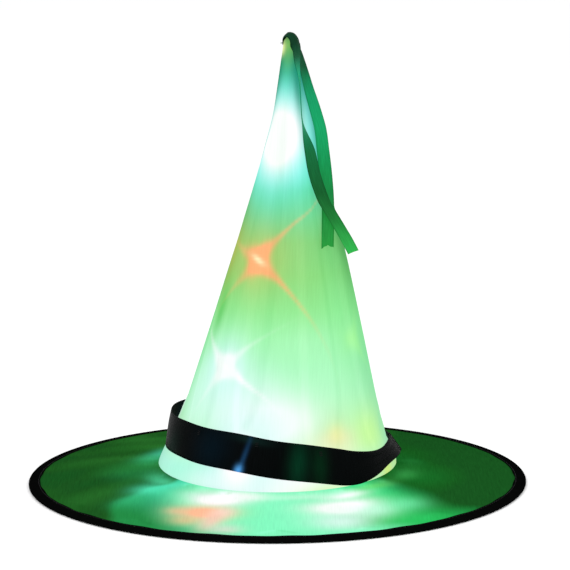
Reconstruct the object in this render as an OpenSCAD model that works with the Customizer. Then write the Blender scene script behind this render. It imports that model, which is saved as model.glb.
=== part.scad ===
// Light-up witch hat: a cone-shaped fabric crown sewn to a hooped fabric brim, with a ribbon
// band, a hanging ribbon at the tip, and a string of lamps run from a coin-cell case inside.
// Millimetres. +Z is up. The origin is on the table, under the centre of the brim.
// Front is -Y, and angles round the crown are counted from +X, so 270 is the front.

/* [Brim] */
// Diameter over the bound edge
brim_d = 380; // [360:2:400]
// How far the brim falls from its seam to its edge
brim_drop = 10; // [8:0.2:11]
// Width of the tape folded round the edge
binding_w = 9; // [7:0.5:12]
// Diameter of the spring-steel hoop in the edge
hoop_d = 1; // [0.8:0.1:1.2]

/* [Crown] */
// Height of the crown's tip above the table
crown_h = 342; // [330:1:350]
// Largest radius, just above the brim seam
crown_r = 91; // [89:0.5:93]
// Sideways lean of the tip, towards +X
tip_lean = 11.4; // [9:0.2:13]
// Thickness of the crown and brim fabric
fabric_t = 0.6; // [0.4:0.1:0.7]
// Inner radius of the tape in the head opening
head_r = 84; // [83:0.5:84]
// Width of that tape
head_tape_w = 12; // [8:1:14]

/* [Hat band] */
// Width of the band ribbon
band_w = 28; // [24:1:30]
// Height of the middle of the band
band_z = 30.5; // [29:0.5:32]
// How far the band sinks at its gathered end and rises opposite
band_tilt = 12; // [10:0.5:13]

/* [Hanging ribbon] */
// Width of the hanging ribbon
ribbon_w = 10; // [9:0.5:10.5]

/* [Lamps] */
// Diameter of a lamp's lens
lamp_d = 5; // [4:0.1:5]
// Diameter of the lamp lead
lead_d = 1.6; // [1.2:0.1:1.6]

/* [Battery case] */
// Width of the case
case_w = 27; // [26:0.5:28]
// Length of the case
case_l = 42; // [42:0.5:44]
// Depth of the case without its lid
case_h = 9.6; // [9.6:0.2:11]
// Tilt of the case, to lie along the crown's wall
case_tilt = 18; // [16:1:19]
// Travel of the switch
switch_travel = 2; // [1.5:0.5:2]

/* [Hidden] */

fabric_green = [0.36, 0.80, 0.45];
brim_green = [0.16, 0.48, 0.20];
ribbon_green = [0.06, 0.42, 0.18];
tape_black = [0.03, 0.03, 0.04];
round_fn = 64;

// ---- Brim section ----
gap = 0.1;                                  // between layers of cloth
seam_z = brim_drop + 1.5;                   // top of the brim at the head opening
hole_r = head_r + 1;                        // the brim's inner edge
hoop_r = brim_d / 2 - 1.6;                  // radius of the hoop's centreline
hoop_z = 1.25;                              // its height
tape_t = 0.4;                               // thickness of the binding tape
channel_r = 0.95;                           // half the height of the fold round the hoop
edge_r = brim_d / 2 - 4;                    // the brim cloth's cut edge
edge_slope = atan(2 * brim_drop * (hoop_r - binding_w / 2 - hole_r) / pow(hoop_r - hole_r, 2));
brim_steps = 10;

// Top of the brim at radius r: level at the seam and steepest at the edge
function brim_top(r) = seam_z - brim_drop * pow((r - hole_r) / (hoop_r - hole_r), 2);

// ---- Crown section ----
crown_sides = 48;
crown_foot = seam_z + gap;
stretch = (crown_h - 36) / (342 - 36);      // moves the upper stations with the height
// Height and radius of the cloth's outer face: the puffed foot, the flare under the band, the
// straight cone and the slim tip
crown_line = [[crown_foot, head_r + 2.2], [crown_foot + 1, crown_r - 2], [crown_foot + 3, crown_r],
              [crown_foot + 8, crown_r - 1.6], [36, crown_r - 9], [36 + 24 * stretch, crown_r - 18],
              [36 + 132 * stretch, 44.7], [36 + 245 * stretch, 13], [36 + 293 * stretch, 5.8],
              [36 + 301 * stretch, 4.7], [crown_h - 1.4, 3], [crown_h, 0.4]];
fill_steps = 4;                             // rings between the long stations

function crown_radius(z) = lookup(z, crown_line);
function lean(z) = tip_lean * pow(sin(90 * min(1, max(0, (z - crown_foot) / 260))), 1.25);
// A point at angle a and height z, off from the crown's outer face by out
function on_crown(a, z, out) =
    [lean(z) + (crown_radius(z) + out) * cos(a), (crown_radius(z) + out) * sin(a), z];

function crown_heights() =
    [for (i = [0 : len(crown_line) - 2])
        let (lo = crown_line[i][0], hi = crown_line[i + 1][0], n = hi - lo > 40 ? fill_steps : 1)
        for (k = [0 : n - 1]) lo + (hi - lo) * k / n,
     crown_h];

// ---- Band section ----
band_sides = 96;
band_t = 0.5;
band_off = 0.7;                             // from the crown to the band's inner face
gather_flat = 18;                           // the band is narrowest over this angle each way
gather_angle = 60;                          // and has its full width from this angle on
gather_share = 0.45;                        // its least width, as a share of band_w
gather_out = 5;                             // how far the gathered lower edge stands off
gather_rise = 11;                           // how far the gather lifts the band
band_loose = 7.5;                           // how far the top edge stands off at the left

function smooth(t) = let (c = min(1, max(0, t))) c * c * (3 - 2 * c);
function wrapped(a) = a > 180 ? a - 360 : a;
function band_half(a) =
    let (t = (abs(wrapped(a)) - gather_flat) / (gather_angle - gather_flat))
    band_w / 2 * 0.93 * (gather_share + (1 - gather_share) * smooth(t));
function band_mid(a) =
    band_z - band_tilt * cos(a) + 5 * pow(sin(a), 2) + gather_rise * (1 - smooth(abs(wrapped(a)) / 52));
// How far the gathered end stands off the crown: all of it at the lower edge, a quarter at the top
function band_stand(a) = gather_out * (1 - smooth(abs(wrapped(a)) / 30));
function band_flare(a) = band_loose * pow(max(0, cos(a - 165)), 1.5);
// How far the lower edge stands off the crown, so that the straight band clears the puffed foot
function band_kick(a) =
    let (low = band_mid(a) - band_half(a), high = band_mid(a) + band_half(a),
         top = crown_radius(high) + band_flare(a))
    max([0, for (s = crown_line) if (s[0] > low && s[0] < high - 2)
        top + (s[1] - top) * (high - low) / (high - s[0]) - crown_radius(low)]);
// Corners of the band's section at angle a: lower and upper inside, then upper and lower outside
function band_section(a) =
    let (low = band_mid(a) - band_half(a), high = band_mid(a) + band_half(a),
         off_low = band_off + band_stand(a) + band_kick(a),
         off_high = band_off + band_stand(a) / 4 + band_flare(a))
    [on_crown(a, low, off_low), on_crown(a, high, off_high),
     on_crown(a, high, off_high + band_t), on_crown(a, low, off_low + band_t)];

// ---- Ribbon section ----
ribbon_t = 0.4;
fold_r = 5.6;                               // inner radius of the fold over the tip
fold_z = crown_h - 5;
fold_leg = 3;
fold_turn = -40;                            // the way the ribbon leaves the tip
// Each stop down a tail, from the crown's tip: its middle, and the angle its width points in
left_tail = [[4.44, -3.73, -9.5, 50], [8.4, -2.6, -21.5, 56], [10.9, -2.2, -31, 52], [13.9, -3.2, -42, 46],
             [18.6, -5, -57, 32], [22.3, -7, -71, 24], [24.1, -10, -86, 20], [25.7, -13, -101, 18],
             [26.9, -17.5, -115, 17], [27.4, -21.5, -126, 19], [27.2, -25.8, -140, 23],
             [26.8, -31.5, -157, 27]];
right_tail = [[5, -4.2, -9.5, 50], [5.2, -9.6, -20, 66], [6.4, -12.4, -30, 80], [7.4, -15.2, -48, 92],
              [8.9, -18.3, -66, 85], [14, -16.5, -85, 38], [17.6, -19.5, -103, 30],
              [23.6, -23.3, -121, 26], [28.6, -24.8, -130, 25], [34.5, -25, -140, 24],
              [41, -23, -151.5, 24], [47, -19, -163.5, 25]];

// ---- Lamp section ----
lead_in = 3.4;                              // from the crown's inner face to the lead's centre
lamp_up = 4.2;                              // from the lead up to a lamp's axis
lamp_len = 8.6;
flange_d = lamp_d + 0.7;
// Angle, height and colour of each lamp in turn, from the case to the tip
lamps = [[165, 42, "blue"], [250, 28, "white"], [304, 46, "yellow"], [375, 54, "green"],
         [460, 98, "orange"], [589, 88, "blue"], [690, 112, "green"], [840, 146, "white"],
         [956, 173, "orange"], [1110, 214, "green"], [1326, 262, "white"]];
tip_lamp_z = 306;
start_angle = 90;                           // where the lead leaves the case
lead_sides = 8;

function inner_radius(z) = crown_radius(z) - fabric_t;
function lead_point(a, z) = on_crown(a, z, -fabric_t - lead_in);

// ---- Case section: x across, y up the wall, z into the hat ----
patch_t = 1.2;
case_wall = 1.2;
floor_z = 2 * patch_t + case_wall;
rim_z = 2 * patch_t + case_h;
lid_t = 1.4;
cell_d = 20;
cell_t = 3.2;
cell_y = 3.5;
cell_z = floor_z + 1;
corner_r = 3;
boss = [8.8, -12.5];
boss_r = 2.5;
screw_r = 0.95;
grommet_z = 2 * patch_t + 5;
case_z = 50;                                // height of the case's middle
case_wall_y = (71 * cos(case_tilt) + (60 - case_z) * sin(case_tilt)) / cos(case_tilt);
switch_w = 8.6;
switch_d = 3.5;
switch_h = 3.7;
switch_z = 2 * patch_t + 5.4;
knob_w = 1.6;
slack = 0.15;

module on_wall() {
    translate([0, case_wall_y, case_z]) rotate([90 + case_tilt, 0, 0]) children();
}
// A point of the case, in the hat's own frame
function from_wall(p) =
    [p[0], case_wall_y - p[1] * sin(case_tilt) - p[2] * cos(case_tilt),
     case_z + p[1] * cos(case_tilt) - p[2] * sin(case_tilt)];

// ---- Lead route ----
// Out of the case's upper end, over to the wall, then lamp to lamp
lead_start = [from_wall([0, case_l / 2 - 3, grommet_z]),
              from_wall([0, case_l / 2 + 4, grommet_z]),
              from_wall([-2, case_l / 2 + 10, grommet_z - 0.5]),
              lead_point(start_angle + 10, 82), lead_point(start_angle + 24, 80),
              lead_point(start_angle + 42, 68)];
lead_turns = 7;                             // points between one lamp and the next

function blend(p0, p1, p2, p3, t) =         // a smooth curve from p1 to p2
    0.5 * (2 * p1 + (p2 - p0) * t + (2 * p0 - 5 * p1 + 4 * p2 - p3) * t * t
           + (3 * p1 - p0 - 3 * p2 + p3) * t * t * t);
lamp_stops = concat([[start_angle + 42, 68]], [for (l = lamps) [l[0], l[1]]],
                    [[1395, 292]]);
function stop_at(i) = lamp_stops[min(max(i, 0), len(lamp_stops) - 1)];
lead_run = [for (i = [0 : len(lamp_stops) - 2], k = [1 : lead_turns])
    let (s = blend(stop_at(i - 1), stop_at(i), stop_at(i + 1), stop_at(i + 2), k / lead_turns))
    lead_point(s[0], s[1])];
lead_end = [[lean(300) + 1.8, -1.8, tip_lamp_z - 11.5], [lean(300), 0, tip_lamp_z - 8.2],
            [lean(300), 0, tip_lamp_z - 5.5]];
lead_route = concat(lead_start, lead_run, lead_end);

// ---- Helpers ----
function unit(v) = v / norm(v);
function along(path, i) =
    unit(path[min(i + 1, len(path) - 1)] - path[max(i - 1, 0)]);
function side_of(d) = unit(cross(d, abs(d[2]) > 0.9 ? [0, 1, 0] : [0, 0, 1]));

// A round cord of radius r along a path
module cord(path, r, sides) {
    rings = len(path);
    points = [for (i = [0 : rings - 1], k = [0 : sides - 1])
        let (d = along(path, i), s = side_of(d), u = cross(s, d), a = 360 * k / sides)
        path[i] + r * (cos(a) * s + sin(a) * u)];
    skin(points, rings, sides);
}

// Joins rings of points, each run the same way round, and closes both ends
module skin(points, rings, sides) {
    walls = [for (i = [0 : rings - 2], k = [0 : sides - 1])
        let (a = i * sides + k, b = i * sides + (k + 1) % sides)
        each [[a, b, b + sides], [a, b + sides, a + sides]]];
    first = [for (k = [sides - 1 : -1 : 0]) k];
    last = [for (k = [0 : sides - 1]) (rings - 1) * sides + k];
    polyhedron(points, concat(walls, [first], [last]), convexity = 8);
}

// A flat strip through stops of [x, y, z, width angle]
module strip(stops, w, t) {
    points = [for (i = [0 : len(stops) - 1])
        let (s = stops[i], p = [s[0], s[1], s[2]], u = [cos(s[3]), sin(s[3]), 0],
             a = stops[max(i - 1, 0)], b = stops[min(i + 1, len(stops) - 1)],
             d = unit([b[0] - a[0], b[1] - a[1], b[2] - a[2]]), n = unit(cross(d, u)))
        each [p - w / 2 * u - t / 2 * n, p + w / 2 * u - t / 2 * n,
              p + w / 2 * u + t / 2 * n, p - w / 2 * u + t / 2 * n]];
    skin(points, len(stops), 4);
}

function eased(stops, n) =
    [for (i = [0 : len(stops) - 2], k = [0 : n - 1])
        blend(stops[max(i - 1, 0)], stops[i], stops[i + 1],
              stops[min(i + 2, len(stops) - 1)], k / n),
     stops[len(stops) - 1]];

module ring(r_in, r_out, h) {
    difference() {
        cylinder(r = r_out, h = h, $fn = round_fn);
        translate([0, 0, -1]) cylinder(r = r_in, h = h + 2, $fn = round_fn);
    }
}

// A rectangle w by l with round corners, h high
module rounded(w, l, h, r) {
    linear_extrude(h) union() {
        square([w - 2 * r, l], center = true);
        square([w, l - 2 * r], center = true);
        for (x = [-1, 1], y = [-1, 1])
            translate([x * (w / 2 - r), y * (l / 2 - r)]) circle(r = r, $fn = 32);
    }
}

module thread_loop(r, thread_r) {
    rotate_extrude($fn = 32) translate([r, 0]) circle(r = thread_r, $fn = 16);
}

// ---- Cloth parts ----
module crown() {
    heights = crown_heights();
    rings = len(heights);
    outer = [for (z = heights, k = [0 : crown_sides - 1]) on_crown(360 * k / crown_sides, z, 0)];
    inner = [for (i = [0 : rings - 1], k = [0 : crown_sides - 1])
        let (z = heights[i], p = on_crown(360 * k / crown_sides, z, 0), c = [lean(z), 0, z],
             r = max(0.2, crown_radius(z) - fabric_t) / max(crown_radius(z), 0.2),
             drop = i == rings - 1 ? 2.2 : i == rings - 2 ? 1 : 0)
        c + (p - c) * r - [0, 0, drop]];
    n = crown_sides;
    half = rings * n;
    walls = [for (i = [0 : rings - 2], k = [0 : n - 1])
        let (a = i * n + k, b = i * n + (k + 1) % n)
        each [[a, b + n, b], [a, a + n, b + n], [half + a, half + b, half + b + n],
              [half + a, half + b + n, half + a + n]]];
    foot = [for (k = [0 : n - 1]) let (j = (k + 1) % n)
        each [[k, j, half + j], [k, half + j, half + k]]];
    cap = [[for (k = [n - 1 : -1 : 0]) (rings - 1) * n + k],
           [for (k = [0 : n - 1]) half + (rings - 1) * n + k]];
    color(fabric_green) polyhedron(concat(outer, inner), concat(walls, foot, cap), convexity = 8);
}

module brim() {
    top = [for (i = [0 : brim_steps])
        let (r = hole_r + (edge_r - hole_r) * i / brim_steps) [r, brim_top(r)]];
    below = [for (i = [brim_steps : -1 : 0]) top[i] - [0, fabric_t]];
    color(brim_green) rotate_extrude($fn = 96) polygon(concat(top, below));
}

module binding_shape(r, leaf) {
    translate([hoop_r, hoop_z]) union() {
        circle(r = r, $fn = 32);
        rotate(180 - edge_slope) translate([0, -leaf / 2]) square([binding_w - r, leaf]);
    }
}

module brim_binding() {
    cloth = fabric_t + 2 * gap;
    color(tape_black) rotate_extrude($fn = 96) intersection() {
        difference() {
            binding_shape(channel_r + tape_t, cloth + 2 * tape_t);
            translate([hoop_r, hoop_z]) circle(r = channel_r, $fn = 32);
            translate([hoop_r, hoop_z]) rotate(180 - edge_slope) translate([0, -cloth / 2])
                square([binding_w + 5, cloth]);
        }
        translate([hoop_r - 20, 0]) square([40, 20]);
    }
}

module brim_hoop() {
    color("silver") rotate([0, 0, 91]) rotate_extrude(angle = 358, $fn = 96)
        translate([hoop_r, hoop_z]) circle(r = hoop_d / 2, $fn = 16);
}

module hoop_ferrule() {
    color("gainsboro") rotate([0, 0, 87.5]) rotate_extrude(angle = 5, $fn = 96)
        translate([hoop_r, hoop_z]) difference() {
            circle(r = channel_r - gap, $fn = 24);
            circle(r = hoop_d / 2 + 0.05, $fn = 24);
        }
}

module head_tape() {
    color(tape_black) translate([0, 0, seam_z - 7]) ring(head_r, head_r + 0.7, head_tape_w);
}

module hat_band() {
    n = band_sides;
    points = [for (k = [0 : n - 1]) each band_section(360 * k / n)];
    walls = [for (k = [0 : n - 1], c = [0 : 3])
        let (a = 4 * k + c, b = 4 * k + (c + 1) % 4, m = 4 * ((k + 1) % n))
        each [[a, b, m + b % 4], [a, m + b % 4, m + a % 4]]];
    color(tape_black) polyhedron(points, walls, convexity = 8);
}

// Long turns of thread round the band's full width, side by side
module band_gather_thread() {
    corners = band_section(0);
    low = (corners[0] + corners[3]) / 2;
    high = (corners[1] + corners[2]) / 2;
    turns = 4;
    color(tape_black) for (k = [0 : turns - 1])
        translate((low + high) / 2 + [0, (k - (turns - 1) / 2) * 0.75, 0])
            rotate([0, atan2(high[0] - low[0], high[2] - low[2]), 0])
                long_loop(norm(high - low) + 0.3, 0.65, 0.25);
}
module long_loop(run, half, r) {
    for (side = [-1, 1])
        translate([side * half, 0, 0]) cylinder(r = r, h = run, center = true, $fn = 16);
    for (end = [0, 180])
        rotate([0, end, 0]) translate([0, 0, run / 2]) rotate([90, 0, 0])
            rotate_extrude(angle = 180, $fn = 24) translate([half, 0]) circle(r = r, $fn = 16);
}

module band_tacks() {
    color(tape_black) for (a = [70, 120, 222, 258, 292], dz = [-1.2, 0, 1.2]) {
        z = band_mid(a) + band_half(a) - 5 + dz;
        low = band_mid(a) - band_half(a);
        share = (z - low) / (2 * band_half(a));
        face = (1 - share) * norm_out(a, low, 0)
            + share * norm_out(a, low + 2 * band_half(a), band_flare(a));
        translate([lean(z) + (face + 0.45) * cos(a), (face + 0.45) * sin(a), z])
            rotate([0, 0, a]) rotate([90, 0, 0]) cylinder(r = 0.3, h = 2.4, center = true, $fn = 16);
    }
}
function norm_out(a, z, flare) = crown_radius(z) + band_off + flare + band_t;

// ---- Hanging ribbon ----
module ribbon_tip_fold() {
    color(ribbon_green) translate([tip_lean, 0, fold_z]) rotate([0, 0, fold_turn])
        translate([0, ribbon_w / 2, 0]) rotate([90, 0, 0]) linear_extrude(ribbon_w) {
            difference() {
                circle(r = fold_r + ribbon_t, $fn = 48);
                circle(r = fold_r, $fn = 48);
                translate([-20, -40]) square([40, 40]);
            }
            for (x = [-fold_r - ribbon_t, fold_r])
                translate([x, -fold_leg]) square([ribbon_t, fold_leg]);
        }
}

module ribbon_tack() {
    color(ribbon_green) translate([tip_lean, 0, fold_z]) rotate([0, 0, fold_turn])
        for (y = [-2.4, 0, 2.4])
            translate([-fold_r - ribbon_t - 0.3, y, -2]) rotate([90, 0, 0])
                cylinder(r = 0.28, h = 1.8, center = true, $fn = 16);
}

module ribbon_tail_left() {
    color(ribbon_green) translate([tip_lean, 0, crown_h])
        strip(eased(left_tail, 4), ribbon_w, ribbon_t);
}

module ribbon_tail_right() {
    color(ribbon_green) translate([tip_lean, 0, crown_h])
        strip(eased(right_tail, 4), ribbon_w, ribbon_t);
}

// ---- Lamp string ----
module lamp_lead() {
    color("darkgreen") cord(lead_route, lead_d / 2, lead_sides);
}

// Puts a lamp's parts, which point along +Z, beside the lead at lamp i
module at_lamp(i) {
    a = lamps[i][0];
    z = lamps[i][1] + lamp_up;
    r = inner_radius(z) - lead_in - 80 / inner_radius(z);
    before = stop_at(i);
    after = stop_at(i + 2);
    turn = (after[0] - before[0]) * PI / 180 * (inner_radius(z) - lead_in);
    rise = atan2(after[1] - before[1], turn);    // the lead's slope beside the lamp
    translate([lean(z) + r * cos(a), r * sin(a), z])
        rotate([0, 0, a]) rotate([rise - 90, 0, 0]) children();
}

module at_tip_lamp() {
    translate([lean(tip_lamp_z), 0, tip_lamp_z]) children();
}

module lamp() {
    r = lamp_d / 2;
    union() {
        translate([0, 0, -lamp_len / 2]) cylinder(r = flange_d / 2, h = 1, $fn = 32);
        translate([0, 0, -lamp_len / 2]) cylinder(r = r, h = lamp_len - r, $fn = 32);
        translate([0, 0, lamp_len / 2 - r]) sphere(r = r, $fn = 32);
    }
}

module lamps_of(name, shade) {
    color(shade) for (i = [0 : len(lamps) - 1]) if (lamps[i][2] == name) at_lamp(i) lamp();
}

module lamps_yellow() {
    lamps_of("yellow", "gold");
    color("gold") at_tip_lamp() lamp();
}
module lamps_orange() lamps_of("orange", "orangered");
module lamps_green() lamps_of("green", "limegreen");
module lamps_blue() lamps_of("blue", "dodgerblue");
module lamps_white() lamps_of("white", "white");

module legs() {
    for (x = [-1.1, 1.1])
        translate([x, 0, -lamp_len / 2 - 5]) cylinder(r = 0.25, h = 5, $fn = 16);
}

module lamp_legs() {
    color("silver") {
        for (i = [0 : len(lamps) - 1]) at_lamp(i) legs();
        at_tip_lamp() intersection() {
            legs();
            translate([0, 0, -lamp_len / 2 - 3]) cylinder(r = 3, h = 3, $fn = 32);
        }
    }
}

// Shrink sleeve round a lamp's legs
module sleeve(h) {
    difference() {
        cylinder(r = 2, h = h, $fn = 32);
        translate([0, 0, -1]) cylinder(r = 1.5, h = h + 2, $fn = 32);
    }
}

module lamp_sleeves() {
    color("darkgreen") {
        for (i = [0 : len(lamps) - 1]) at_lamp(i) translate([0, 0, -lamp_len / 2 - 7]) sleeve(7);
        at_tip_lamp() translate([0, 0, -lamp_len / 2 - 3]) sleeve(3);
    }
}

// Thread loops that hold the lead to the crown, one before each lamp
module lead_tacks() {
    color("honeydew") for (i = [0 : len(lamps) - 1]) {
        s = blend(stop_at(i - 1), stop_at(i), stop_at(i + 1), stop_at(i + 2), 3 / lead_turns);
        translate(lead_point(s[0], s[1])) rotate([0, 0, s[0]]) {
            rotate([90, 0, 0]) thread_loop(1.5, 0.3);
            translate([1.5, 0, 0]) rotate([0, 90, 0]) cylinder(r = 0.3, h = lead_in - 1.9, $fn = 16);
        }
    }
}

// ---- Battery case ----
module loop_patch() {
    color("honeydew") on_wall() rounded(20, 30, patch_t, 2);
}

module hook_patch() {
    color("white") on_wall() translate([0, 0, patch_t]) rounded(20, 30, patch_t, 2);
}

module cell_well() {
    translate([0, cell_y, floor_z]) difference() {
        ring(cell_d / 2 + 0.4, cell_d / 2 + 1.3, 6.6);
        translate([-4, 0, -1]) cube([8, 20, 10]);
    }
}

module case_tray() {
    base = 2 * patch_t;
    color("whitesmoke") on_wall() difference() {
        union() {
            difference() {
                translate([0, 0, base]) rounded(case_w, case_l, case_h, corner_r);
                translate([0, 0, floor_z])
                    rounded(case_w - 2 * case_wall, case_l - 2 * case_wall, case_h, corner_r - case_wall);
            }
            cell_well();
            translate([boss[0], boss[1], floor_z - 0.1])
                cylinder(r = boss_r, h = rim_z - floor_z + 0.1, $fn = round_fn);
        }
        translate([boss[0], boss[1], floor_z + 1]) cylinder(r = screw_r + 0.05, h = 20, $fn = round_fn);
        translate([0, case_l / 2 + 1, grommet_z]) rotate([90, 0, 0]) cylinder(r = 1.7, h = 4, $fn = 32);
        translate([-(knob_w + switch_travel + 0.6) / 2, -case_l / 2 - 1, switch_z - 1.05])
            cube([knob_w + switch_travel + 0.6, 3, 2.1]);
    }
}

module case_lid() {
    hook = 1;
    color("whitesmoke") on_wall() difference() {
        union() {
            translate([0, 0, rim_z]) rounded(case_w, case_l, lid_t, corner_r);
            for (x = [-1, 1])
                translate([x * (case_w / 2 - case_wall - slack - hook / 2), 7, rim_z - 0.4])
                    cube([hook, 12, 0.9], center = true);
        }
        translate([boss[0], boss[1], rim_z - 1]) cylinder(r = screw_r + 0.2, h = 5, $fn = round_fn);
        translate([boss[0], boss[1], rim_z + lid_t - 0.8]) cylinder(r = 2.15, h = 2, $fn = round_fn);
        for (k = [0 : 3])                   // grip ribs
            translate([0, -17.5 + 1.4 * k, rim_z + lid_t]) cube([9, 0.7, 0.6], center = true);
    }
}

module lid_screw() {
    top = rim_z + lid_t - 0.8;
    color("silver") on_wall() translate([boss[0], boss[1], 0]) difference() {
        union() {
            translate([0, 0, top]) cylinder(r = 2, h = 0.9, $fn = 32);
            translate([0, 0, top - 7]) cylinder(r = screw_r, h = 7.2, $fn = 32);
        }
        for (a = [0, 90])
            translate([0, 0, top + 0.8]) rotate([0, 0, a]) cube([2.4, 0.5, 0.9], center = true);
    }
}

// A coin cell: a wide can over a narrower cap
module coin_cell(z) {
    translate([0, cell_y, z]) union() {
        cylinder(r = cell_d / 2 - 1.3, h = 0.6, $fn = round_fn);
        translate([0, 0, 0.5]) cylinder(r = cell_d / 2, h = cell_t - 0.5, $fn = round_fn);
    }
}
module coin_cell_lower() color("silver") on_wall() coin_cell(cell_z);
module coin_cell_upper() color("silver") on_wall() coin_cell(cell_z + cell_t);

// Leaf under the cells, with a raised tongue
module contact_spring() {
    color("gold") on_wall() translate([0, cell_y, floor_z]) union() {
        translate([-4, -8, 0]) cube([8, 16, 0.3]);
        translate([-2, -5, 0.2]) cube([4, 0.4, 0.7]);
        translate([-2, -5, 0.6]) cube([4, 9, 0.3]);
    }
}

// Leaf that touches the upper cell's edge only
module contact_leaf() {
    y = cell_y + cell_d / 2;
    color("gold") on_wall() union() {
        translate([-3, y + 0.9, floor_z]) cube([6, 0.3, 4.4]);
        translate([-3, y + 0.05, floor_z + 4.4]) cube([6, 1.15, 0.3]);
        translate([-3, y + 0.05, floor_z + 4.4]) cube([6, 0.3, 2.2]);
    }
}

module switch_housing() {
    y = -case_l / 2 + case_wall + 0.05;
    color("dimgray") on_wall() difference() {
        translate([-switch_w / 2, y, switch_z - switch_h / 2]) cube([switch_w, switch_d, switch_h]);
        translate([-(switch_travel + 3.2) / 2, y - 1, switch_z - 0.95])
            cube([switch_travel + 3.2, 2.6, 1.9]);
    }
}

module switch_slider() {
    y = -case_l / 2;
    color("black") on_wall() translate([switch_travel / 2, 0, 0]) union() {
        translate([-knob_w / 2, y - 1.8, switch_z - 0.8]) cube([knob_w, 3.2, 1.6]);
        translate([-1.4, y + case_wall + 0.2, switch_z - 0.8]) cube([2.8, 1.2, 1.6]);
    }
}

module resistor() {
    color("tan") on_wall() translate([-8, -12.5, floor_z + 1.2]) rotate([90, 0, 0]) union() {
        cylinder(r = 1.1, h = 3.4, center = true, $fn = 32);
        cylinder(r = 0.25, h = 8, center = true, $fn = 16);
    }
}

module lead_grommet() {
    color("black") on_wall() translate([0, case_l / 2, grommet_z]) rotate([90, 0, 0])
        difference() {
            union() {
                translate([0, 0, -1.4]) cylinder(r = 2.4, h = 1.3, $fn = 32);
                translate([0, 0, -0.2]) cylinder(r = 1.6, h = case_wall + 0.4, $fn = 32);
            }
            translate([0, 0, -3]) cylinder(r = lead_d / 2 + 0.1, h = 8, $fn = 32);
        }
}

crown();
brim();
brim_binding();
brim_hoop();
hoop_ferrule();
head_tape();
hat_band();
band_gather_thread();
band_tacks();
ribbon_tip_fold();
ribbon_tack();
ribbon_tail_left();
ribbon_tail_right();
lamp_lead();
lead_tacks();
lamps_yellow();
lamps_orange();
lamps_green();
lamps_blue();
lamps_white();
lamp_legs();
lamp_sleeves();
loop_patch();
hook_patch();
case_tray();
case_lid();
lid_screw();
coin_cell_lower();
coin_cell_upper();
contact_spring();
contact_leaf();
switch_housing();
switch_slider();
resistor();
lead_grommet();
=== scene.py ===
"""Looks for the light-up witch hat: cloth, ribbon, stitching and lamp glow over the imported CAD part."""
import math

import bmesh
import bpy
import numpy as np
from mathutils import Matrix, Vector


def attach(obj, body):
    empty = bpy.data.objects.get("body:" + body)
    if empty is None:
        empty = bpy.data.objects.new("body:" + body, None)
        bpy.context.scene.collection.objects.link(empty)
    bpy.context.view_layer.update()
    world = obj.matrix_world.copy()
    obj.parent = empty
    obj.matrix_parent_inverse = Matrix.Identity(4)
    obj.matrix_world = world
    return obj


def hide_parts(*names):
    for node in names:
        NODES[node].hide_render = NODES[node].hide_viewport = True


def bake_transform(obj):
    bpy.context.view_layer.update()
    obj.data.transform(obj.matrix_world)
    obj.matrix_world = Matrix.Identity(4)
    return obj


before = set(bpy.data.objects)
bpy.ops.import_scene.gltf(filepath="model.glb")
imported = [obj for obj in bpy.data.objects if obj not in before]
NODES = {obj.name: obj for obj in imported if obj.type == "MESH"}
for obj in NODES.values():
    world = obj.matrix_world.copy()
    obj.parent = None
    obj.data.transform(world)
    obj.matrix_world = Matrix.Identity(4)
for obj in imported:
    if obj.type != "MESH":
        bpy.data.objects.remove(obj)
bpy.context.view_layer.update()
MM = 0.001
TAU = 2 * math.pi
FRONT = 1.5 * math.pi                # the angle of -Y, counted from +X
BACK = 0.5 * math.pi
CLOTH_T = 0.5                        # millimetres, as are all lengths up to the mesh builders
RIBBON_T = 0.32


# ------------------------ reading the CAD part
def points_of(node):
    """A CAD node's points, in millimetres."""
    mesh = NODES[node].data
    co = np.zeros(len(mesh.vertices) * 3)
    mesh.vertices.foreach_get("co", co)
    return co.reshape(-1, 3) / MM


def clusters(node, reach):
    """The middles of a CAD node's separate pieces, each at most reach across from its first point."""
    left, found = points_of(node), []
    while len(left):
        near = np.linalg.norm(left - left[0], axis=1) < reach
        found.append((left[near].min(0) + left[near].max(0)) / 2)
        left = left[~near]
    return found


def blur(values, sigma):
    """A running average of evenly spaced values, with sigma in samples."""
    n = max(1, int(3 * sigma))
    kernel = np.exp(-0.5 * (np.arange(-n, n + 1) / sigma) ** 2)
    padded = np.concatenate([2 * values[0] - values[n:0:-1], values, 2 * values[-1] - values[-2:-n - 2:-1]])
    return np.convolve(padded, kernel / kernel.sum(), "valid")


crown_points = points_of("crown")
ring_z = np.unique(np.round(crown_points[:, 2], 2))
rings = [crown_points[abs(crown_points[:, 2] - z) < 0.02] for z in ring_z]
ring_keep = [i for i, r in enumerate(rings) if len(r) >= 40]
ring_z = ring_z[ring_keep]
ring_x = np.array([(rings[i][:, 0].max() + rings[i][:, 0].min()) / 2 for i in ring_keep])
ring_r = np.array([(rings[i][:, 0].max() - rings[i][:, 0].min()) / 2 for i in ring_keep])
FOOT, TIP = ring_z[0], ring_z[-1]
fine_z = np.arange(FOOT, TIP + 0.4, 0.5)
fine_x = blur(np.interp(fine_z, ring_z, ring_x), 12)
sharp_r = np.interp(fine_z, ring_z, ring_r)
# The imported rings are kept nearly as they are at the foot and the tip, and smoothed along the wall
soft_mix = np.clip((fine_z - 30) / 40, 0, 1) * np.clip((TIP - 12 - fine_z) / 20, 0, 1)
fine_r = blur(sharp_r, 1.2) * (1 - soft_mix) + blur(sharp_r, 14) * soft_mix


def lean(z):
    """How far the crown's middle is off the Z axis at a height."""
    return np.interp(z, fine_z, fine_x)


def radius(z):
    """The crown's radius at a height."""
    return np.interp(z, fine_z, fine_r)


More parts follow.
